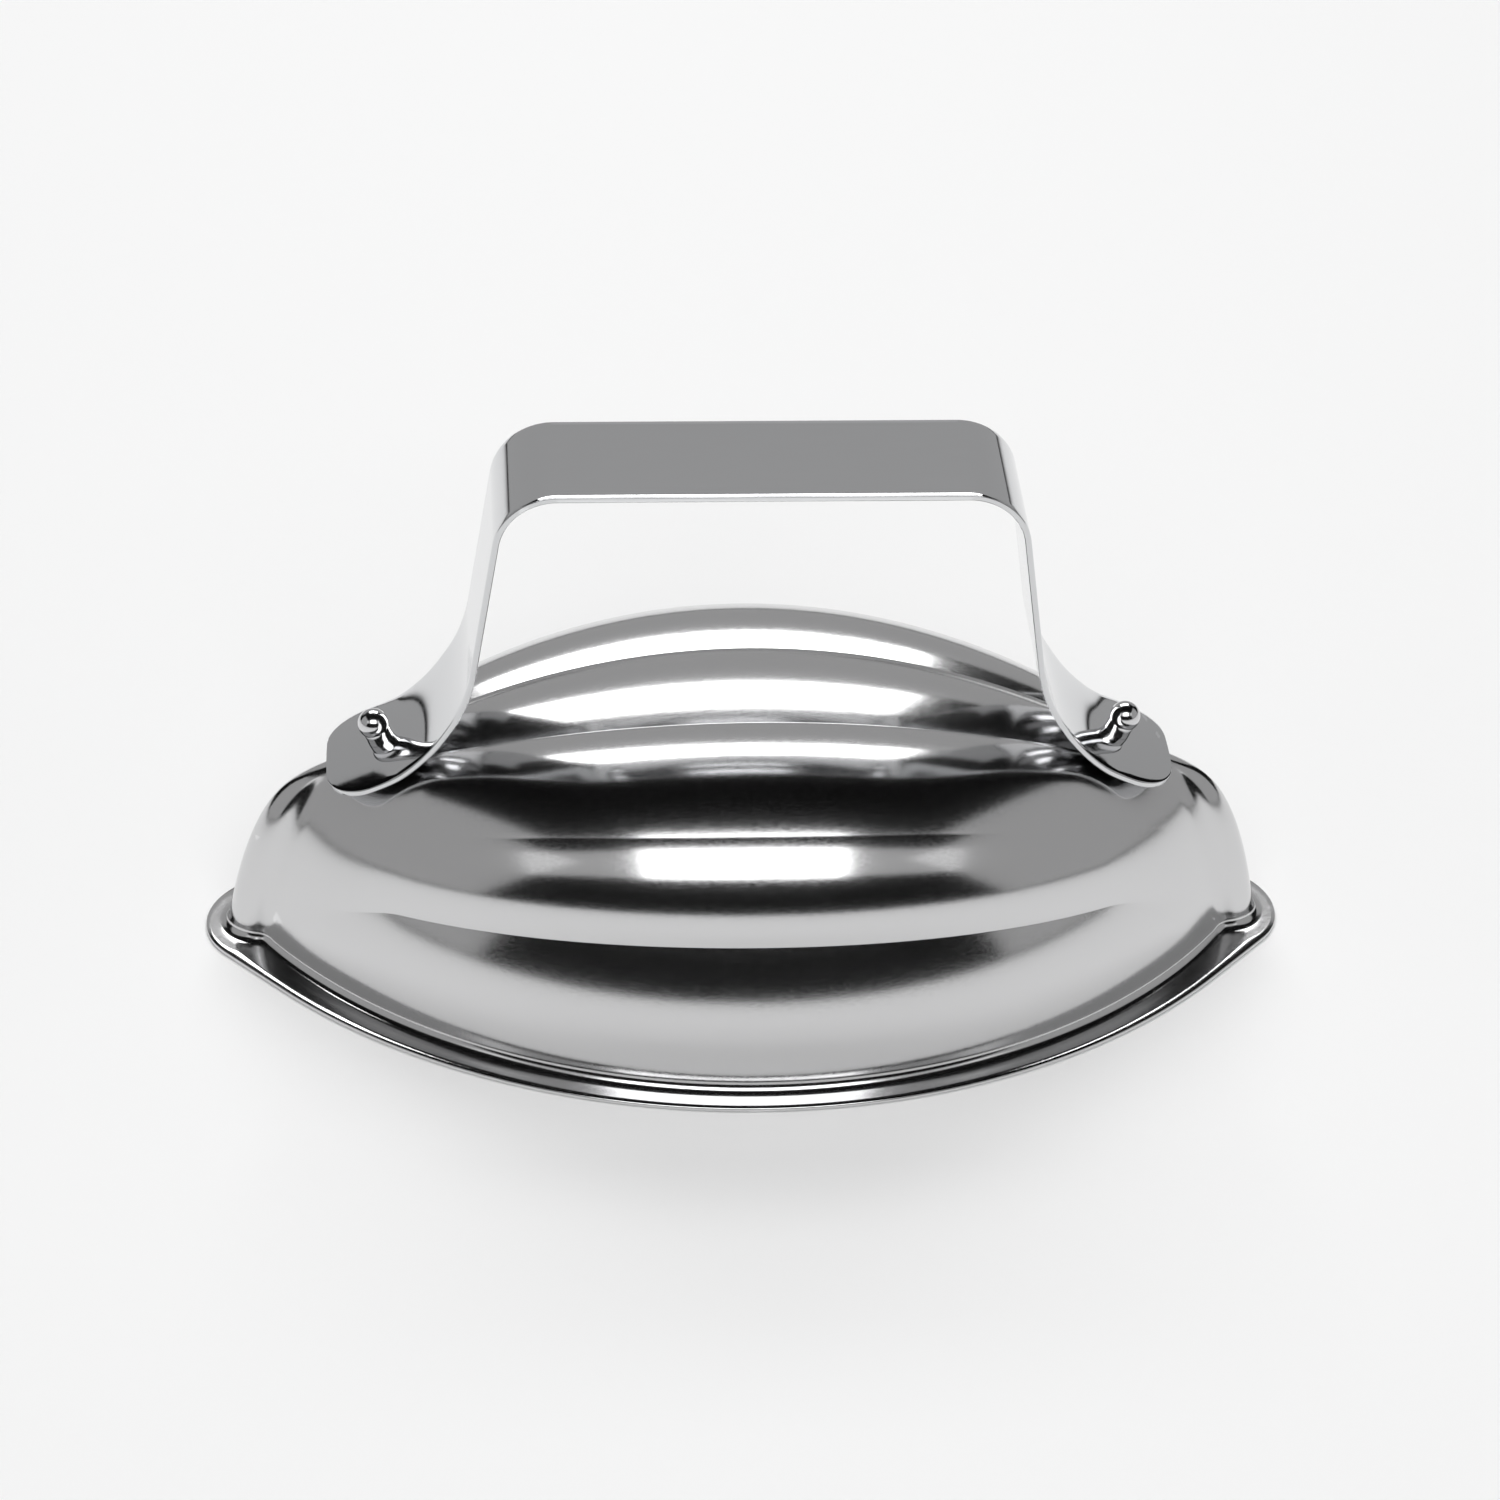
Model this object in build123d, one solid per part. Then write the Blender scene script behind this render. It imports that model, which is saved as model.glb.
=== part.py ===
from build123d import *
import math
import os

# Hand-held fluted food mould: a thin pressed dome with seven lengthwise lobes and a flat rim,
# and a bent strap handle held by one blind rivet through each foot.
# Frame: X along the length, Y across, Z up. Origin on the resting plane, below the middle.
# All sizes in millimetres.

# Rim, seen from above: two long arcs, a short straight run and a rounded tip at each end.
RIM_HALF_LENGTH = 87.5
RIM_HALF_WIDTH = 51.0
RIM_SIDE_RADIUS = 102.5
RIM_TIP_RADIUS = 12.5
SHEET = 0.8

# Wall foot, seen from above: one long arc a side, and a narrow round nose at each end.
FOOT_HALF_WIDTH = 46.5
FOOT_SIDE_RADIUS = 93.5
NOSE_END = 83.6
NOSE_RADIUS = 5.3
NOSE_BLEND_RADIUS = 4.0
FOOT_FILLET = 1.8

# Crest, from the side: curved over the middle, then straight. Wall sections fan out from it.
CREST_HEIGHT = 47.4
CREST_CURVE = 0.00358
CREST_STRAIGHT_X = 61.0
SEAT_X = 58.3
FAN_HALF_LENGTH = 68.0
FAN_EASE = 0.42

# Creases between lobes, as parts of the way out to the foot and of the way up to the crest.
CREASES = [(0.230, 0.960), (0.709, 0.819), (0.876, 0.479), (1.0, 0.0)]
BULGES = [0.0, 0.14, 0.11, 0.06]
# Towards the ends the lobes fade into one smooth end wall.
FADE_START = 57.0
FADE_END = 80.0
END_SPREAD = 1.9
END_SHARPNESS = 3.4
END_DRAFT = 1.13

# Points of the surface grid.
SIDE_STEPS = 44
BLEND_STEPS = 4
NOSE_STEPS = 6
LOBE_STEPS = 9
FILLET_STEPS = 4

# Handle strap: bar, two legs and two feet, bent from one strip.
STRAP_WIDTH = 23.0
STRAP_THICKNESS = 1.0
HANDLE_TOP = 87.2
LEG_TOP_X = 39.9
LEG_LEAN = 8.5
FOOT_TIP_X = 67.0
HANDLE_CORNER_RADIUS = 10.0
LEG_BEND_RADIUS = 25.0
FOOT_CORNER_RADIUS = 7.0
FOOT_GAP = 0.02

# Blind rivets.
SHANK_RADIUS = 2.0
RIVET_FLANGE_RADIUS = 3.8
RIVET_FLANGE_THICKNESS = 1.0
RIVET_FLANGE_DROP = 0.75
TAIL_HEIGHT = 2.3
TAIL_RADIUS = 2.15
MANDREL_RADIUS = 1.0
BALL_RADIUS = 2.45
BALL_HEIGHT = 3.1
PIN_RECESS = 0.3

# How far a cutting shape runs past what it cuts, and how closely the rim's outline is found.
CUT_MARGIN = 1.0
OUTLINE_TOLERANCE = 1e-9

WALL_BOTTOM = SHEET + FOOT_FILLET


def crest_height(x):
    """Height of the crest: curved over the middle, straight beyond the strap's feet."""
    curved = min(abs(x), CREST_STRAIGHT_X)
    straight = abs(x) - curved
    return CREST_HEIGHT - CREST_CURVE * curved * (curved + 2 * straight)


def crest_slope(x):
    """How fast the crest falls towards +X at x."""
    return 2 * CREST_CURVE * max(-CREST_STRAIGHT_X, min(x, CREST_STRAIGHT_X))


def seat_tilt():
    """Downward angle of the crest under the right rivet, in radians."""
    return math.atan(crest_slope(SEAT_X))


def arc_points(centre, radius, start, end, steps):
    """Points on an arc from angle start to angle end, in radians, without the last one."""
    points = []
    for i in range(steps):
        angle = start + (end - start) * i / steps
        points.append((centre[0] + radius * math.cos(angle), centre[1] + radius * math.sin(angle)))
    return points


def quarter_foot():
    """Plan of the wall foot from the end of the nose round to the middle of the side."""
    nose_x = NOSE_END - NOSE_RADIUS
    side_y = FOOT_HALF_WIDTH - FOOT_SIDE_RADIUS
    to_side = FOOT_SIDE_RADIUS + NOSE_BLEND_RADIUS
    to_nose = NOSE_RADIUS + NOSE_BLEND_RADIUS
    gap = math.hypot(nose_x, side_y)
    along = (to_side**2 - to_nose**2 + gap**2) / (2 * gap)
    across = math.sqrt(to_side**2 - along**2)
    ux = nose_x / gap
    uy = -side_y / gap
    blend = (along * ux - across * uy, side_y + along * uy + across * ux)
    nose_angle = math.atan2(blend[1], blend[0] - nose_x)
    side_angle = math.atan2(blend[1] - side_y, blend[0])
    points = arc_points((nose_x, 0), NOSE_RADIUS, 0, nose_angle, NOSE_STEPS)
    points += arc_points(blend, NOSE_BLEND_RADIUS, nose_angle - math.pi, side_angle - math.pi, BLEND_STEPS)
    points += arc_points((0, side_y), FOOT_SIDE_RADIUS, side_angle, math.pi / 2, SIDE_STEPS // 2)
    return points + [(0.0, FOOT_HALF_WIDTH)]


def half_foot():
    """Plan of the wall foot from the right nose, round the +Y side, to the left nose."""
    quarter = quarter_foot()
    return quarter + [(-x, y) for x, y in reversed(quarter[:-1])]


def fluted_profile(lobe, s):
    """Section at mid length: out and up fractions at part s of the given lobe."""
    if lobe == 0:
        out, up = CREASES[0]
        return out * s, 1 - (1 - up) * s * s
    out0, up0 = CREASES[lobe - 1]
    out1, up1 = CREASES[lobe]
    swell = BULGES[lobe] * 4 * s * (1 - s)
    out = out0 + (out1 - out0) * s + swell * (up0 - up1)
    up = up0 + (up1 - up0) * s + swell * (out1 - out0)
    return out, up


def end_profile(u):
    """Smooth section at the nose, for u from 0 on the crest to 1 at the foot."""
    out = 1 - (1 - u) ** END_SPREAD
    up = (1 - out**END_SHARPNESS) ** (1 / END_DRAFT)
    return out, up


def fade(x):
    """0 over the fluted middle, 1 at the noses."""
    t = (abs(x) - FADE_START) / (FADE_END - FADE_START)
    t = min(max(t, 0.0), 1.0)
    return t * t * (3 - 2 * t)


def wall_point(foot, hub, lobe, s):
    """A point on the outside of the wall, on the section from the crest at x = hub to this foot point."""
    out_a, up_a = fluted_profile(lobe, s)
    out_b, up_b = end_profile((lobe + s) / len(CREASES))
    k = fade(foot[0])
    out = out_a + (out_b - out_a) * k
    up = up_a + (up_b - up_a) * k
    x = hub + (foot[0] - hub) * out
    y = foot[1] * out
    return Vector(x, y, WALL_BOTTOM + (crest_height(x) - WALL_BOTTOM) * up)


def foot_normal(foots, i):
    """Outward direction of the foot's plan at point i."""
    if i == 0:
        return Vector(1, 0, 0)
    if i == len(foots) - 1:
        return Vector(-1, 0, 0)
    dx = foots[i + 1][0] - foots[i - 1][0]
    dy = foots[i + 1][1] - foots[i - 1][1]
    return Vector(dy, -dx, 0).normalized()


def lobe_fractions(lobe):
    """Steps across one lobe, closer together at its creases."""
    for j in range(LOBE_STEPS):
        u = j / LOBE_STEPS
        yield math.sin(math.pi / 2 * u) if lobe == 0 else (1 - math.cos(math.pi * u)) / 2


def section_hub(i, count):
    """Where on the crest, along X, the section to foot point i of count starts."""
    part = 1 - 2 * i / (count - 1)
    return FAN_HALF_LENGTH * part * (1 + FAN_EASE * (1 - part * part))


def fan_direction(foots, i):
    """Direction in plan of the section through foot point i. Sections fan out, so they never cross."""
    x, y = foots[i]
    return Vector(x - section_hub(i, len(foots)), y, 0).normalized()


def outer_grid():
    """Rows of points on the outside, each from the crest down the wall and out to the rim's top."""
    foots = half_foot()
    rows = []
    for i, foot in enumerate(foots):
        hub = section_hub(i, len(foots))
        row = [wall_point(foot, hub, lobe, s) for lobe in range(len(CREASES)) for s in lobe_fractions(lobe)]
        outward = foot_normal(foots, i)
        base = Vector(foot[0], foot[1], WALL_BOTTOM)
        for j in range(FILLET_STEPS + 1):
            angle = math.pi / 2 * j / FILLET_STEPS
            drop = Vector(0, 0, FOOT_FILLET * math.sin(angle))
            row.append(base + outward * FOOT_FILLET * (1 - math.cos(angle)) - drop)
        rows.append(row)
    return rows


def grid_normal(rows, i, j):
    """Outward normal of the grid at one point."""
    if j == len(rows[0]) - 1:
        return Vector(0, 0, 1)
    if j == 0:
        return Vector(crest_slope(rows[i][0].X), 0, 1).normalized()
    down = rows[i][j + 1] - rows[i][j - 1]
    if i in (0, len(rows) - 1):
        return Vector(-down.Z, 0, down.X).normalized() * math.copysign(1, rows[i][0].X)
    along = rows[i + 1][j] - rows[i - 1][j]
    return down.cross(along).normalized()


def inner_grid(rows):
    """The outer grid moved inwards by the sheet's thickness."""
    return [
        [point - grid_normal(rows, i, j) * SHEET for j, point in enumerate(row)] for i, row in enumerate(rows)
    ]


def inside_rim(x, y):
    """Whether a point in plan lies inside the rim's outline."""
    tip_x = RIM_HALF_LENGTH - RIM_TIP_RADIUS
    side_y = RIM_SIDE_RADIUS - RIM_HALF_WIDTH
    angle = math.asin((RIM_SIDE_RADIUS - RIM_TIP_RADIUS) / math.hypot(tip_x, side_y)) - math.atan2(side_y, tip_x)
    along = abs(x) * math.cos(angle) - abs(y) * math.sin(angle)
    across = abs(x) * math.sin(angle) + abs(y) * math.cos(angle)
    if along < side_y * math.sin(angle):
        return math.hypot(x, abs(y) + side_y) < RIM_SIDE_RADIUS
    if along < tip_x * math.cos(angle):
        return across < RIM_SIDE_RADIUS - side_y * math.cos(angle)
    return math.hypot(abs(x) - tip_x, y) < RIM_TIP_RADIUS


def rim_point(start, outward):
    """Where a straight line from a start point inside the rim meets the rim's outline."""
    near = 0.0
    far = RIM_HALF_WIDTH
    while far - near > OUTLINE_TOLERANCE:
        middle = (near + far) / 2
        point = start + outward * middle
        if inside_rim(point.X, point.Y):
            near = middle
        else:
            far = middle
    return start + outward * near


def lobe_splines(row):
    """One spline per lobe, and one for the fillet, through a row of grid points."""
    breaks = [lobe * LOBE_STEPS for lobe in range(len(CREASES) + 1)] + [len(row) - 1]
    return [Spline(*row[a : b + 1]) for a, b in zip(breaks, breaks[1:])]


def sheet_section(outer_row, inner_row, outward):
    """Closed outline of the sheet, cut from the crest down the wall and out to the rim."""
    rim_top = rim_point(outer_row[-1], outward)
    rim_bottom = rim_top - Vector(0, 0, SHEET)
    edges = lobe_splines(outer_row)
    edges.append(Line(outer_row[-1], rim_top))
    edges.append(Line(rim_top, rim_bottom))
    edges.append(Line(rim_bottom, inner_row[-1]))
    edges.extend(reversed(lobe_splines(inner_row)))
    edges.append(Line(inner_row[0], outer_row[0]))
    return Wire(edges)


def seat_frame(side, lift):
    """Plane on the crest under a rivet, its Z along the rivet, moved up by lift."""
    along_rivet = Vector(side * math.sin(seat_tilt()), 0, math.cos(seat_tilt()))
    seat = Plane(origin=(side * SEAT_X, 0, crest_height(SEAT_X)), z_dir=along_rivet)
    return seat.offset(lift)


def disc(frame, radius, start, end):
    """Cylinder along a frame's Z, from start to end."""
    return frame.offset(start) * Cylinder(radius, end - start, align=(Align.CENTER, Align.CENTER, Align.MIN))


def rivet_hole(side):
    """Cutter for one rivet's hole through shell and strap, with a flat seat for the tail on the strap."""
    foot_top = seat_frame(side, FOOT_GAP + STRAP_THICKNESS)
    hole = disc(foot_top, SHANK_RADIUS, -STRAP_THICKNESS - FOOT_GAP - SHEET - CUT_MARGIN, CUT_MARGIN)
    return hole + disc(foot_top, TAIL_RADIUS, 0, CUT_MARGIN)


def make_shell():
    foots = half_foot()
    outer = outer_grid()
    inner = inner_grid(outer)
    sections = [sheet_section(outer[i], inner[i], fan_direction(foots, i)) for i in range(len(foots))]
    half = Solid.make_loft(sections)
    skin = [face for face in half.faces() if face.bounding_box().max.Y > SHEET]
    shell = Solid(Shell(skin + [face.mirror(Plane.XZ) for face in skin]))
    return shell - rivet_hole(1) - rivet_hole(-1)


def strap_line(lift):
    """Half of the strap's side view, lift above its underside, from mid bar to the right foot's tip."""
    tilt = seat_tilt()
    slope = math.tan(tilt)
    lean = math.tan(math.radians(LEG_LEAN))
    bar_z = HANDLE_TOP - STRAP_THICKNESS + lift
    leg_x = LEG_TOP_X + (lift - STRAP_THICKNESS) * math.hypot(1, lean)
    foot_z = crest_height(SEAT_X) + FOOT_GAP + lift / math.cos(tilt)
    corner_x = leg_x + lean * (HANDLE_TOP - bar_z)
    knee_x = (leg_x + lean * (HANDLE_TOP - foot_z - slope * SEAT_X)) / (1 - lean * slope)
    knee_z = foot_z - slope * (knee_x - SEAT_X)
    tip_x = FOOT_TIP_X + lift * math.sin(tilt)
    tip_z = foot_z - slope * (tip_x - SEAT_X)
    corners = [(0, bar_z), (corner_x, bar_z), (knee_x, knee_z), (tip_x, tip_z)]
    radii = [HANDLE_CORNER_RADIUS - STRAP_THICKNESS + lift, LEG_BEND_RADIUS + STRAP_THICKNESS - lift]
    return FilletPolyline(*corners, radius=radii)


def make_strap():
    under = strap_line(0)
    over = strap_line(STRAP_THICKNESS)
    half = under + over + Line(under @ 0, over @ 0) + Line(under @ 1, over @ 1)
    half_face = make_face(half.edges())
    face = Plane.XZ * (half_face + half_face.mirror(Plane.YZ))
    strap = extrude(face, STRAP_WIDTH / 2, both=True)
    length = 2 * (over @ 1).X
    strap &= extrude(RectangleRounded(length, STRAP_WIDTH, FOOT_CORNER_RADIUS), HANDLE_TOP + CUT_MARGIN)
    return strap - rivet_hole(1) - rivet_hole(-1)


def make_rivet(side):
    """One rivet: its body, and the pin whose round head sits in the body's swollen tail."""
    foot_top = seat_frame(side, STRAP_THICKNESS + FOOT_GAP)
    flange_top = -STRAP_THICKNESS - FOOT_GAP - SHEET - RIVET_FLANGE_DROP
    flange_bottom = flange_top - RIVET_FLANGE_THICKNESS
    pin = disc(foot_top, MANDREL_RADIUS, flange_bottom + PIN_RECESS, BALL_HEIGHT)
    pin += foot_top.offset(BALL_HEIGHT) * Sphere(BALL_RADIUS)
    body = disc(foot_top, RIVET_FLANGE_RADIUS, flange_bottom, flange_top)
    body += disc(foot_top, SHANK_RADIUS, flange_bottom, 0)
    body += disc(foot_top, TAIL_RADIUS, 0, TAIL_HEIGHT)
    body -= foot_top.offset(BALL_HEIGHT) * Sphere(BALL_RADIUS)
    body -= disc(foot_top, MANDREL_RADIUS, flange_bottom - CUT_MARGIN, BALL_HEIGHT)
    return body, pin


def main():
    os.makedirs("parts", exist_ok=True)
    export_step(make_shell(), "parts/mould_shell.step")
    export_step(make_strap(), "parts/handle_strap.step")
    for name, side in (("left", -1), ("right", 1)):
        body, pin = make_rivet(side)
        export_step(body, f"parts/{name}_rivet_body.step")
        export_step(pin, f"parts/{name}_rivet_mandrel.step")


main()
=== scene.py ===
import bpy
import math
from mathutils import Matrix, Quaternion, Vector


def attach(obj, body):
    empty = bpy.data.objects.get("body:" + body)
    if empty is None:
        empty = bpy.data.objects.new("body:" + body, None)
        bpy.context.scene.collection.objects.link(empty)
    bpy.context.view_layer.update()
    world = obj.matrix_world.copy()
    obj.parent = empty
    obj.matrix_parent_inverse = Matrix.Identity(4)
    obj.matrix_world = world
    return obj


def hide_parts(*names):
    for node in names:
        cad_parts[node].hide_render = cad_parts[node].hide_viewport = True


# Looks of a fluted food mould with a riveted strap handle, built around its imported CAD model.
# Lengths are worked out in millimetres in the CAD frame and turned to metres when a mesh is made.
MM = 0.001

# Shell: the same driving sizes as the CAD model, and the radius of the rim's rounded edge.
RIM_HALF_LENGTH = 87.5
RIM_HALF_WIDTH = 51.0
RIM_SIDE_RADIUS = 102.5
RIM_TIP_RADIUS = 12.5
SHEET = 0.8
FOOT_HALF_WIDTH = 46.5
FOOT_SIDE_RADIUS = 93.5
NOSE_END = 83.6
NOSE_RADIUS = 5.3
NOSE_BLEND_RADIUS = 4.0
FOOT_FILLET = 1.8
CREST_HEIGHT = 47.4
CREST_CURVE = 0.00358
CREST_STRAIGHT_X = 61.0
SEAT_X = 58.3
FAN_HALF_LENGTH = 68.0
FAN_EASE = 0.42
CREASES = [(0.230, 0.960), (0.709, 0.819), (0.876, 0.479), (1.0, 0.0)]
BULGES = [0.0, 0.14, 0.11, 0.06]
FADE_START = 57.0
FADE_END = 80.0
END_SPREAD = 1.9
END_SHARPNESS = 3.4
END_DRAFT = 1.13
RIM_EDGE_ROUND = 0.15

# Handle strap. Its feet are crowned over the dome, from CROWN_START_X on.
STRAP_WIDTH = 23.0
STRAP_THICKNESS = 1.0
HANDLE_TOP = 87.2
LEG_TOP_X = 39.9
LEG_LEAN = 8.5
FOOT_TIP_X = 67.0
HANDLE_CORNER_RADIUS = 10.0
LEG_BEND_RADIUS = 25.0
FOOT_CORNER_RADIUS = 7.0
FOOT_GAP = 0.02
STRAP_EDGE_ROUND = 0.22
FOOT_CROWN = 0.9
CROWN_START_X = 48.0
CROWN_RUN_IN = 8.0

# Rivets.
SHANK_RADIUS = 2.0
RIVET_FLANGE_RADIUS = 3.8
RIVET_FLANGE_THICKNESS = 1.0
RIVET_FLANGE_DROP = 0.75
TAIL_RADIUS = 2.15
MANDREL_RADIUS = 1.0
BALL_RADIUS = 2.45
BALL_HEIGHT = 3.1
PIN_RECESS = 0.3
SOCKET_HEIGHT = 1.0
# Outer edge of a rivet's flange: parts of its radius, and heights above its face.
FLANGE_EDGE = [(0.70, 0.0), (0.93, 0.25), (1.0, 0.6)]
# Side of a rivet's swollen tail: what its radius loses, and heights above the strap's foot.
TAIL_SIDE = [(0.0, 0.02), (0.0, 0.5), (0.05, 1.1), (0.02, 1.7), (0.12, 1.95)]

# Mesh fineness.
SIDE_STEPS = 150
BLEND_STEPS = 10
NOSE_STEPS = 18
LOBE_STEPS = 16
FILLET_STEPS = 6
RIM_STEPS = 3
BAR_STEPS = 20
BEND_STEPS = 24
FOOT_STEPS = 40
ACROSS_STEPS = 24
EDGE_STEPS = 3
BALL_STEPS = 24
LATHE_STEPS = 48
OUTLINE_TOLERANCE = 1e-7
SHARP_ANGLE = math.radians(50)

# Steel. Patches of uneven polish, as waves a metre, and how much they count beside the grain.
PATCH_SCALE = 40
PATCH_WEIGHT = 0.15
PATCH_DETAIL = 2
GRAIN_DETAIL = 4
GRAIN_RANGE = (0.35, 0.8)
ROUGHNESS_SPREAD = 0.2
# Pointiness at which the painted highlight on outer edges starts and is full, and how much brighter it
# makes the colour.
EDGE_HIGHLIGHT_POINTINESS = (0.52, 0.60)
EDGE_HIGHLIGHT_GAIN = 1.2
BRIGHTEST = 0.95

# Studio, in metres. A brightness of 1 is that of a white surface.
FLOOR_HALF_SIZE = 3.0
DARK_STUDIO = 0.004
PALE_BACKDROP = 0.95
LIGHT_TARGET = (0, 0, 0.047)
# Name, centre, width, depth and brightness of each soft light.
LIGHTS = [
    ("top_softbox", (0, 0.836, 1.043), 0.95, 0.50, 5.0),
    ("back_card", (0, 1.75, 0.65), 3.6, 1.24, 0.40),
    ("front_softbox", (0, -0.95, 0.98), 1.0, 0.62, 3.0),
    ("front_card", (0, -1.02, 1.05), 2.8, 0.62, 0.45),
    ("side_card", (-1.25, -0.25, 0.55), 1.5, 1.1, 0.42),
    ("side_card", (1.25, -0.25, 0.55), 1.5, 1.1, 0.42),
]
FLOOR_FILL = ("floor_fill", (0, 0, 1.5), 1.5, 1.5, 1.5)

# Camera: angles in degrees, places in metres.
CAMERA_AZIMUTH = -4.58
CAMERA_ELEVATION = 34.0
CAMERA_ROLL = 1.97
CAMERA_TARGET = (0, 0, 0.0332)
CAMERA_DISTANCE = 0.749
SENSOR_WIDTH = 36
LENS = 112.6

WALL_BOTTOM = SHEET + FOOT_FILLET

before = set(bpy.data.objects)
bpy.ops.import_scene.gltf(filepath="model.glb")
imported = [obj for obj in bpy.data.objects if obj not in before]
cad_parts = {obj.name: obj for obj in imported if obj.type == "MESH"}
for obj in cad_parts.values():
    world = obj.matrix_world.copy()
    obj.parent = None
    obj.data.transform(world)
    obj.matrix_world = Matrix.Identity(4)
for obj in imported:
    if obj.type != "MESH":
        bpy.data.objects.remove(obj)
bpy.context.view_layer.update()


# ---------------------------------------------------------------- shell


def crest_height(x):
    """Height of the crest: curved over the middle, straight beyond the strap's feet."""
    curved = min(abs(x), CREST_STRAIGHT_X)
    straight = abs(x) - curved
    return CREST_HEIGHT - CREST_CURVE * curved * (curved + 2 * straight)


def crest_slope(x):
    """How fast the crest falls towards +X at x."""
    return 2 * CREST_CURVE * max(-CREST_STRAIGHT_X, min(x, CREST_STRAIGHT_X))


def seat_tilt():
    """Downward angle of the crest under the right rivet, in radians."""
    return math.atan(crest_slope(SEAT_X))


def arc_points(centre, radius, start, end, steps):
    """Points on an arc from angle start to angle end, without the last one."""
    angles = [start + (end - start) * i / steps for i in range(steps)]
    return [(centre[0] + radius * math.cos(a), centre[1] + radius * math.sin(a)) for a in angles]


def half_foot():
    """Plan of the wall foot from the right nose, round the +Y side, to the left nose."""
    nose_x = NOSE_END - NOSE_RADIUS
    side_y = FOOT_HALF_WIDTH - FOOT_SIDE_RADIUS
    to_side = FOOT_SIDE_RADIUS + NOSE_BLEND_RADIUS
    to_nose = NOSE_RADIUS + NOSE_BLEND_RADIUS
    gap = math.hypot(nose_x, side_y)
    along = (to_side**2 - to_nose**2 + gap**2) / (2 * gap)
    across = math.sqrt(to_side**2 - along**2)
    ux, uy = nose_x / gap, -side_y / gap
    blend = (along * ux - across * uy, side_y + along * uy + across * ux)
    nose_angle = math.atan2(blend[1], blend[0] - nose_x)
    side_angle = math.atan2(blend[1] - side_y, blend[0])
    points = arc_points((nose_x, 0), NOSE_RADIUS, 0, nose_angle, NOSE_STEPS)
    points += arc_points(blend, NOSE_BLEND_RADIUS, nose_angle - math.pi, side_angle - math.pi, BLEND_STEPS)
    points += arc_points((0, side_y), FOOT_SIDE_RADIUS, side_angle, math.pi / 2, SIDE_STEPS // 2)
    points.append((0.0, FOOT_HALF_WIDTH))
    return points + [(-x, y) for x, y in reversed(points[:-1])]


def fluted_profile(lobe, s):
    """Section at mid length: out and up fractions at part s of the given lobe."""
    if lobe == 0:
        out, up = CREASES[0]
        return out * s, 1 - (1 - up) * s * s
    out0, up0 = CREASES[lobe - 1]
    out1, up1 = CREASES[lobe]
    swell = BULGES[lobe] * 4 * s * (1 - s)
    return out0 + (out1 - out0) * s + swell * (up0 - up1), up0 + (up1 - up0) * s + swell * (out1 - out0)


def end_profile(u):
    """Smooth section at the nose, for u from 0 on the crest to 1 at the foot."""
    out = 1 - (1 - u) ** END_SPREAD
    return out, max(1 - out**END_SHARPNESS, 0.0) ** (1 / END_DRAFT)


def fade(x):
    """0 over the fluted middle, 1 at the noses."""
    t = min(max((abs(x) - FADE_START) / (FADE_END - FADE_START), 0.0), 1.0)
    return t * t * (3 - 2 * t)


def wall_point(foot, hub, lobe, s):
    """A point on the outside of the wall, on the section from the crest at x = hub to this foot point."""
    out_a, up_a = fluted_profile(lobe, s)
    out_b, up_b = end_profile((lobe + s) / len(CREASES))
    k = fade(foot[0])
    out = out_a + (out_b - out_a) * k
    up = up_a + (up_b - up_a) * k
    x = hub + (foot[0] - hub) * out
    return Vector((x, foot[1] * out, WALL_BOTTOM + (crest_height(x) - WALL_BOTTOM) * up))


def foot_normal(foots, i):
    """Outward direction of the foot's plan at point i."""
    if i == 0:
        return Vector((1, 0, 0))
    if i == len(foots) - 1:
        return Vector((-1, 0, 0))
    dx = foots[i + 1][0] - foots[i - 1][0]
    dy = foots[i + 1][1] - foots[i - 1][1]
    return Vector((dy, -dx, 0)).normalized()


def lobe_fractions(lobe):
    """Steps across one lobe, closer together at its creases."""
    for j in range(LOBE_STEPS):
        u = j / LOBE_STEPS
        yield math.sin(math.pi / 2 * u) if lobe == 0 else (1 - math.cos(math.pi * u)) / 2


def inside_rim(x, y):
    """Whether a point in plan lies inside the rim's outline."""
    tip_x = RIM_HALF_LENGTH - RIM_TIP_RADIUS
    side_y = RIM_SIDE_RADIUS - RIM_HALF_WIDTH
    angle = math.asin((RIM_SIDE_RADIUS - RIM_TIP_RADIUS) / math.hypot(tip_x, side_y))
    angle -= math.atan2(side_y, tip_x)
    along = abs(x) * math.cos(angle) - abs(y) * math.sin(angle)
    across = abs(x) * math.sin(angle) + abs(y) * math.cos(angle)
    if along < side_y * math.sin(angle):
        return math.hypot(x, abs(y) + side_y) < RIM_SIDE_RADIUS
    if along < tip_x * math.cos(angle):
        return across < RIM_SIDE_RADIUS - side_y * math.cos(angle)
    return math.hypot(abs(x) - tip_x, y) < RIM_TIP_RADIUS


def rim_reach(start, outward):
    """How far a straight line from a point inside the rim runs before it meets the outline."""
    near, far = 0.0, RIM_HALF_WIDTH
    while far - near > OUTLINE_TOLERANCE:
        middle = (near + far) / 2
        point = start + outward * middle
        if inside_rim(point.x, point.y):
            near = middle
        else:
            far = middle
    return near


def section_hub(i, count):
    """Where on the crest, along X, the section to foot point i of count starts."""
    part = 1 - 2 * i / (count - 1)
    return FAN_HALF_LENGTH * part * (1 + FAN_EASE * (1 - part * part))


def fan_direction(foots, i):
    """Direction in plan of the section through foot point i. Sections fan out, so they never cross."""
    x, y = foots[i]
    return Vector((x - section_hub(i, len(foots)), y, 0)).normalized()


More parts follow.
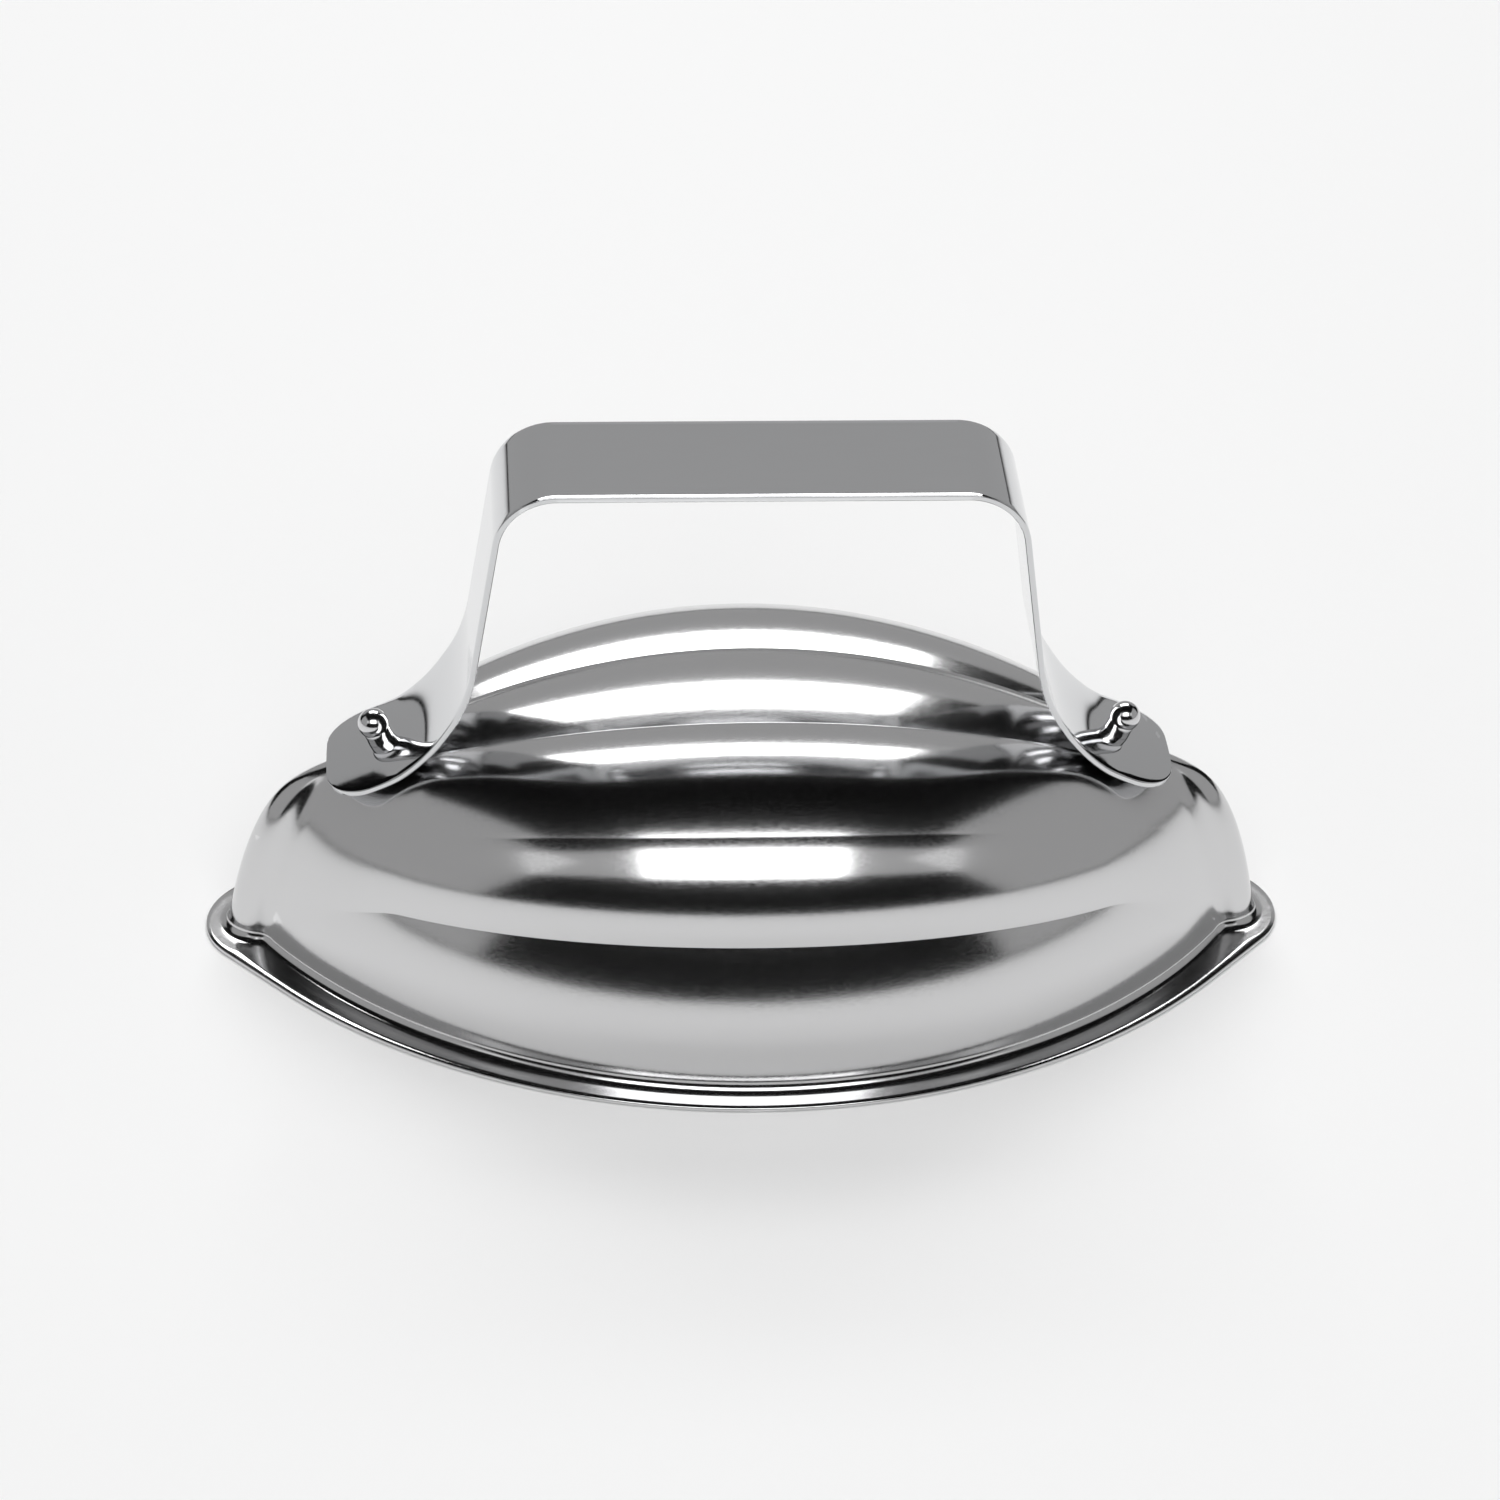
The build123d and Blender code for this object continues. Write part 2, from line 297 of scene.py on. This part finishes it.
def wall_row(foots, i):
    """Outside points from the crest down the wall to the end of the fillet, on one section."""
    foot = foots[i]
    hub = section_hub(i, len(foots))
    row = [wall_point(foot, hub, lobe, s) for lobe in range(len(CREASES)) for s in lobe_fractions(lobe)]
    outward = foot_normal(foots, i)
    base = Vector((foot[0], foot[1], WALL_BOTTOM))
    for j in range(FILLET_STEPS + 1):
        angle = math.pi / 2 * j / FILLET_STEPS
        out = outward * FOOT_FILLET * (1 - math.cos(angle))
        row.append(base + out - Vector((0, 0, FOOT_FILLET * math.sin(angle))))
    return row


def grid_normal(rows, i, j):
    """Outward normal of the outside at one grid point."""
    if j == len(rows[0]) - 1:
        return Vector((0, 0, 1))
    if j == 0:
        return Vector((crest_slope(rows[i][0].x), 0, 1)).normalized()
    down = rows[i][j + 1] - rows[i][j - 1]
    if i in (0, len(rows) - 1):
        return Vector((-down.z, 0, down.x)).normalized() * math.copysign(1, rows[i][0].x)
    return down.cross(rows[i + 1][j] - rows[i - 1][j]).normalized()


def rim_points(start, outward):
    """Flat rim and its rounded edge, from the fillet's end on top round to the underside."""
    reach = rim_reach(start, outward) - RIM_EDGE_ROUND
    points = [start + outward * reach * j / RIM_STEPS for j in range(1, RIM_STEPS + 1)]
    edge = points[-1]
    for drop in (RIM_EDGE_ROUND, SHEET - RIM_EDGE_ROUND):
        points.append(edge + outward * RIM_EDGE_ROUND - Vector((0, 0, drop)))
    down = Vector((0, 0, SHEET))
    return points + [start + outward * reach * j / RIM_STEPS - down for j in range(RIM_STEPS, 0, -1)]


def shell_rows():
    """Closed-section rows: outside, rim, then the inside back up to the crest."""
    foots = half_foot()
    walls = [wall_row(foots, i) for i in range(len(foots))]
    rows = []
    for i, wall in enumerate(walls):
        inside = [point - grid_normal(walls, i, j) * SHEET for j, point in enumerate(wall)]
        rows.append(wall + rim_points(wall[-1], fan_direction(foots, i)) + inside[::-1])
    return rows


def make_mesh(name, points, faces):
    """Object from points in millimetres, shaded smooth except across sharp corners."""
    mesh = bpy.data.meshes.new(name)
    mesh.from_pydata([tuple(p * MM) for p in points], [], faces)
    mesh.validate()
    mesh.polygons.foreach_set("use_smooth", [True] * len(mesh.polygons))
    mesh.set_sharp_from_angle(angle=SHARP_ANGLE)
    piece = bpy.data.objects.new(name, mesh)
    bpy.context.scene.collection.objects.link(piece)
    return piece


def make_shell():
    """The rows and their mirror image in the XZ plane, joined along that plane."""
    rows = shell_rows()
    last = len(rows) - 1
    width = len(rows[0])
    points = [p for row in rows for p in row]
    mirrored = {}
    for i in range(1, last):
        for j in range(1, width - 1):
            mirrored[i, j] = len(points)
            p = rows[i][j]
            points.append(Vector((p.x, -p.y, p.z)))
    faces = []
    for i in range(last):
        for j in range(width - 1):
            corners = [(i, j), (i, j + 1), (i + 1, j + 1), (i + 1, j)]
            faces.append([a * width + b for a, b in corners])
            faces.append([mirrored.get(c, c[0] * width + c[1]) for c in reversed(corners)])
    return make_mesh("pressed_shell", points, faces)


# ---------------------------------------------------------------- strap


def strap_corners():
    """Corners of half the strap's underside, from mid bar to the right foot's tip, with bend radii."""
    tilt = seat_tilt()
    slope = math.tan(tilt)
    lean = math.tan(math.radians(LEG_LEAN))
    bar_z = HANDLE_TOP - STRAP_THICKNESS
    leg_x = LEG_TOP_X - STRAP_THICKNESS * math.hypot(1, lean)
    foot_z = crest_height(SEAT_X) + FOOT_GAP
    knee_x = (leg_x + lean * (HANDLE_TOP - foot_z - slope * SEAT_X)) / (1 - lean * slope)
    corner = Vector((leg_x + lean * (HANDLE_TOP - bar_z), 0, bar_z))
    knee = Vector((knee_x, 0, foot_z - slope * (knee_x - SEAT_X)))
    tip = Vector((FOOT_TIP_X, 0, foot_z - slope * (FOOT_TIP_X - SEAT_X)))
    return [Vector((0, 0, bar_z)), corner, knee, tip]


def bend(before, corner, after, radius):
    """Centre of the arc that rounds a corner of the strap, and the arms from it to points on the arc."""
    a = (before - corner).normalized()
    b = (after - corner).normalized()
    half = a.angle(b) / 2
    middle = corner + (a + b).normalized() * radius / math.sin(half)
    start = corner + a * radius / math.tan(half) - middle
    end = corner + b * radius / math.tan(half) - middle
    turn = start.rotation_difference(end)
    arms = [Quaternion(turn.axis, turn.angle * k / BEND_STEPS) @ start for k in range(BEND_STEPS + 1)]
    return [(middle, arm) for arm in arms]


def strap_path():
    """Underside points and normals of half the strap, closely spaced."""
    top, corner, knee, tip = strap_corners()
    path = []
    normal = Vector((0, 0, 1))
    for centre, arm in bend(top, corner, knee, HANDLE_CORNER_RADIUS - STRAP_THICKNESS):
        path.append((centre + arm, arm.normalized()))
    for centre, arm in bend(corner, knee, tip, LEG_BEND_RADIUS + STRAP_THICKNESS):
        path.append((centre + arm, -arm.normalized()))
    bar_end = path[0][0]
    bar = [(top.lerp(bar_end, k / BAR_STEPS), normal) for k in range(BAR_STEPS)]
    knee_end, foot_up = path[-1]
    foot = [(knee_end.lerp(tip, k / FOOT_STEPS), foot_up) for k in range(1, FOOT_STEPS + 1)]
    return bar + path + foot


def strap_section(half_width):
    """Outline across the strap: offsets along Y and along the normal, once round."""
    flat = half_width - STRAP_EDGE_ROUND
    across = [flat * (2 * k / ACROSS_STEPS - 1) for k in range(ACROSS_STEPS + 1)]
    side = []
    for k in range(1, EDGE_STEPS + 1):
        angle = math.pi / 2 * k / EDGE_STEPS
        y = half_width - STRAP_EDGE_ROUND * (1 - math.sin(angle))
        side.append((y, STRAP_THICKNESS - STRAP_EDGE_ROUND * (1 - math.cos(angle))))
    side += [(y, STRAP_THICKNESS - n) for y, n in reversed(side)]
    over = [(y, STRAP_THICKNESS) for y in across]
    under = [(-y, 0) for y in across]
    return over + side + under + [(-y, STRAP_THICKNESS - n) for y, n in side]


def strap_half_width(point, tip):
    """Half the strap's width at a point of its path: less where the feet's corners are rounded."""
    past = FOOT_CORNER_RADIUS - (Vector((abs(point.x), 0, point.z)) - tip).length
    if past <= 0 or abs(point.x) < LEG_TOP_X:
        return STRAP_WIDTH / 2
    return STRAP_WIDTH / 2 - FOOT_CORNER_RADIUS + math.sqrt(FOOT_CORNER_RADIUS**2 - past**2)


def make_strap():
    """Rings of points along the whole path, joined into one closed strip."""
    half = strap_path()
    path = [(Vector((-p.x, 0, p.z)), Vector((-n.x, 0, n.z))) for p, n in reversed(half[1:])] + half
    tip = half[-1][0]
    points = []
    for p, n in path:
        crown = FOOT_CROWN * min(max((abs(p.x) - CROWN_START_X) / CROWN_RUN_IN, 0.0), 1.0)
        for y, lift in strap_section(strap_half_width(p, tip)):
            sag = crown * (2 * y / STRAP_WIDTH) ** 2
            points.append(p + n * (lift - sag) + Vector((0, y, 0)))
    width = len(points) // len(path)
    faces = []
    for start in range(0, len(points) - width, width):
        for j in range(width):
            k = (j + 1) % width
            faces.append([start + j, start + width + j, start + width + k, start + k])
    faces.append(list(range(width)))
    faces.append(list(reversed(range(len(points) - width, len(points)))))
    return make_mesh("bent_strap", points, faces)


# ---------------------------------------------------------------- rivets


def lathe(name, side, profile):
    """Turned piece: profile points are radius and height above the foot's top, on the rivet's axis.

    A point of radius 0 is one pole, and a point that comes twice in the profile is one ring."""
    tilt = seat_tilt()
    up = Vector((side * math.sin(tilt), 0, math.cos(tilt)))
    along = Vector((math.cos(tilt), 0, -side * math.sin(tilt)))
    base = Vector((side * SEAT_X, 0, crest_height(SEAT_X))) + up * (STRAP_THICKNESS + FOOT_GAP)
    points = []
    rings = {}
    for r, h in profile:
        if (r, h) in rings:
            continue
        first = len(points)
        for k in range(LATHE_STEPS if r else 1):
            angle = 2 * math.pi * k / LATHE_STEPS
            out = along * math.cos(angle) + Vector((0, 1, 0)) * math.sin(angle)
            points.append(base + out * r + up * h)
        rings[r, h] = [first + k if r else first for k in range(LATHE_STEPS)]
    faces = []
    for low, high in zip(profile, profile[1:]):
        for k in range(LATHE_STEPS):
            m = (k + 1) % LATHE_STEPS
            corners = [rings[low][k], rings[low][m], rings[high][m], rings[high][k]]
            faces.append(list(dict.fromkeys(corners)))
    return make_mesh(name, points, faces)


def sleeve_profile(flange_top, flange_bottom):
    """Rivet body: flange inside the shell, shank through shell and foot, swollen tail on top."""
    bore_end = (MANDREL_RADIUS, flange_bottom)
    profile = [bore_end]
    profile += [(RIVET_FLANGE_RADIUS * part, flange_bottom + rise) for part, rise in FLANGE_EDGE]
    profile += [(RIVET_FLANGE_RADIUS, flange_top), (SHANK_RADIUS, flange_top), (SHANK_RADIUS, 0)]
    profile += [(TAIL_RADIUS - loss, height) for loss, height in TAIL_SIDE]
    return profile + [(MANDREL_RADIUS, SOCKET_HEIGHT), bore_end]


def pin_profile(flange_bottom):
    """Broken-off pin: a plain end inside the body, and the round head that sits in its tail."""
    pin_end = flange_bottom + PIN_RECESS
    low = math.asin(MANDREL_RADIUS / BALL_RADIUS) - math.pi / 2
    profile = [(0.0, pin_end), (MANDREL_RADIUS, pin_end)]
    for k in range(BALL_STEPS):
        angle = low + (math.pi / 2 - low) * k / BALL_STEPS
        profile.append((BALL_RADIUS * math.cos(angle), BALL_HEIGHT + BALL_RADIUS * math.sin(angle)))
    return profile + [(0.0, BALL_HEIGHT + BALL_RADIUS)]


def make_rivet(name, side):
    """One rivet's two pieces: sleeve and pin."""
    flange_top = -STRAP_THICKNESS - FOOT_GAP - SHEET - RIVET_FLANGE_DROP
    flange_bottom = flange_top - RIVET_FLANGE_THICKNESS
    sleeve = lathe(name + "_rivet_sleeve", side, sleeve_profile(flange_top, flange_bottom))
    return sleeve, lathe(name + "_rivet_pin", side, pin_profile(flange_bottom))


# ---------------------------------------------------------------- materials


def add_noise(material, scale, detail, stretch):
    """Noise over the object, with its scale multiplied along each axis by stretch."""
    nodes = material.node_tree.nodes
    links = material.node_tree.links
    place = nodes.new("ShaderNodeTexCoord")
    mapping = nodes.new("ShaderNodeMapping")
    mapping.inputs["Scale"].default_value = stretch
    links.new(place.outputs["Object"], mapping.inputs["Vector"])
    noise = nodes.new("ShaderNodeTexNoise")
    noise.inputs["Scale"].default_value = scale
    noise.inputs["Detail"].default_value = detail
    links.new(mapping.outputs["Vector"], noise.inputs["Vector"])
    return noise.outputs["Fac"]


def add_range(material, value, source, target):
    """Maps a value from the source range to the target range."""
    mapper = material.node_tree.nodes.new("ShaderNodeMapRange")
    mapper.inputs["From Min"].default_value, mapper.inputs["From Max"].default_value = source
    mapper.inputs["To Min"].default_value, mapper.inputs["To Max"].default_value = target
    material.node_tree.links.new(value, mapper.inputs["Value"])
    return mapper.outputs["Result"]


def add_edge_highlight_color(material, color):
    """The steel's colour, with a painted highlight: brighter along outer edges."""
    nodes = material.node_tree.nodes
    geometry = nodes.new("ShaderNodeNewGeometry")
    # Painted highlight: convex edges get a brighter base colour, so they look lit.
    edge_highlight = add_range(material, geometry.outputs["Pointiness"], EDGE_HIGHLIGHT_POINTINESS, (0, 1))
    mix = nodes.new("ShaderNodeMix")
    mix.data_type = "RGBA"
    factor, plain, bright = mix.inputs[0], mix.inputs[6], mix.inputs[7]
    plain.default_value = color + (1,)
    bright.default_value = tuple(min(c * EDGE_HIGHLIGHT_GAIN, BRIGHTEST) for c in color) + (1,)
    material.node_tree.links.new(edge_highlight, factor)
    return mix.outputs[2]


def steel(name, color, roughness, grain_scale, grain_depth, grain_stretch):
    """Metal with fine grain along X, uneven polish, and a painted highlight that brightens outer edges.
    Depth is in millimetres.
    """
    material = bpy.data.materials.new(name)
    material.use_nodes = True
    nodes = material.node_tree.nodes
    links = material.node_tree.links
    shader = nodes["Principled BSDF"]
    shader.inputs["Metallic"].default_value = 1.0
    grain = add_noise(material, grain_scale, GRAIN_DETAIL, grain_stretch)
    patches = add_noise(material, PATCH_SCALE, PATCH_DETAIL, (1, 1, 1))
    polish = nodes.new("ShaderNodeMath")
    polish.operation = "MULTIPLY_ADD"
    polish.inputs[1].default_value = PATCH_WEIGHT
    links.new(patches, polish.inputs[0])
    links.new(grain, polish.inputs[2])
    spread = (roughness * (1 - ROUGHNESS_SPREAD), roughness * (1 + ROUGHNESS_SPREAD))
    rough = add_range(material, polish.outputs["Value"], GRAIN_RANGE, spread)
    bump = nodes.new("ShaderNodeBump")
    bump.inputs["Strength"].default_value = 1.0
    bump.inputs["Distance"].default_value = grain_depth * MM
    links.new(grain, bump.inputs["Height"])
    links.new(rough, shader.inputs["Roughness"])
    # Base colour with the painted highlight along outer edges.
    links.new(add_edge_highlight_color(material, color), shader.inputs["Base Color"])
    links.new(bump.outputs["Normal"], shader.inputs["Normal"])
    return material


def assign(piece, material):
    piece.data.materials.clear()
    piece.data.materials.append(material)


def pale_floor():
    material = bpy.data.materials.new("pale_floor")
    material.use_nodes = True
    shader = material.node_tree.nodes["Principled BSDF"]
    shader.inputs["Base Color"].default_value = (0.9, 0.9, 0.9, 1)
    shader.inputs["Roughness"].default_value = 0.9
    shader.inputs["Specular IOR Level"].default_value = 0.1
    return material


# ---------------------------------------------------------------- stage


def make_floor():
    size = FLOOR_HALF_SIZE / MM
    corners = [Vector((x * size, y * size, 0)) for x, y in ((-1, -1), (1, -1), (1, 1), (-1, 1))]
    floor = make_mesh("studio_floor", corners, [[0, 1, 2, 3]])
    assign(floor, pale_floor())


def area_light(name, centre, width, depth, brightness):
    """Rectangular soft light that faces the object. The camera doesn't see the lamp itself."""
    light = bpy.data.lights.new(name, "AREA")
    light.shape = "RECTANGLE"
    light.size = width
    light.size_y = depth
    light.energy = brightness * math.pi * width * depth
    lamp = bpy.data.objects.new(name, light)
    lamp.location = centre
    towards = Vector(LIGHT_TARGET) - Vector(centre)
    lamp.rotation_euler = towards.to_track_quat("-Z", "Y").to_euler()
    lamp.visible_camera = False
    bpy.context.scene.collection.objects.link(lamp)
    return lamp


def make_lights():
    """The soft lights that the metal reflects, and one that only brightens the floor."""
    for light in LIGHTS:
        area_light(*light)
    floor_fill = area_light(*FLOOR_FILL)
    floor_fill.visible_glossy = False


def make_world(dark, pale):
    """A dark studio to reflect, and a pale backdrop behind the floor's edge."""
    world = bpy.data.worlds.new("studio")
    world.use_nodes = True
    nodes = world.node_tree.nodes
    links = world.node_tree.links
    shade = nodes["Background"]
    shade.inputs["Color"].default_value = (dark, dark, dark, 1)
    backdrop = nodes.new("ShaderNodeBackground")
    backdrop.inputs["Color"].default_value = (pale, pale, pale, 1)
    ray = nodes.new("ShaderNodeLightPath")
    either = nodes.new("ShaderNodeMixShader")
    links.new(ray.outputs["Is Camera Ray"], either.inputs[0])
    links.new(shade.outputs[0], either.inputs[1])
    links.new(backdrop.outputs[0], either.inputs[2])
    links.new(either.outputs[0], nodes["World Output"].inputs["Surface"])
    bpy.context.scene.world = world


def make_camera():
    azimuth = math.radians(CAMERA_AZIMUTH)
    elevation = math.radians(CAMERA_ELEVATION)
    level = math.cos(elevation)
    back = Vector((math.sin(azimuth) * level, -math.cos(azimuth) * level, math.sin(elevation)))
    camera = bpy.data.objects.new("camera", bpy.data.cameras.new("camera"))
    camera.data.sensor_width = SENSOR_WIDTH
    camera.data.lens = LENS
    roll = Matrix.Rotation(math.radians(CAMERA_ROLL), 3, "Z")
    turn = back.to_track_quat("Z", "Y").to_matrix() @ roll
    place = Vector(CAMERA_TARGET) + back * CAMERA_DISTANCE
    camera.matrix_world = Matrix.Translation(place) @ turn.to_4x4()
    bpy.context.scene.collection.objects.link(camera)
    bpy.context.scene.camera = camera


shell_steel = steel("satin_steel", (0.64, 0.64, 0.645), 0.15, 3000, 0.003, (0.4, 1, 1))
strap_steel = steel("polished_steel", (0.66, 0.665, 0.675), 0.07, 1500, 0.0006, (0.1, 1, 1))
rivet_steel = steel("rivet_steel", (0.66, 0.66, 0.67), 0.14, 500, 0.004, (1, 1, 1))

shell = make_shell()
assign(shell, shell_steel)
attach(shell, "root")
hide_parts("mould_shell")

strap = make_strap()
assign(strap, strap_steel)
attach(strap, "root")
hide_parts("handle_strap")

for side_name, side in (("left", -1), ("right", 1)):
    sleeve, pin = make_rivet(side_name, side)
    for piece, node in ((sleeve, "_rivet_body"), (pin, "_rivet_mandrel")):
        assign(piece, rivet_steel)
        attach(piece, "root")
        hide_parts(side_name + node)

bpy.context.scene.view_settings.view_transform = "Standard"
make_world(DARK_STUDIO, PALE_BACKDROP)
make_floor()
make_lights()
make_camera()
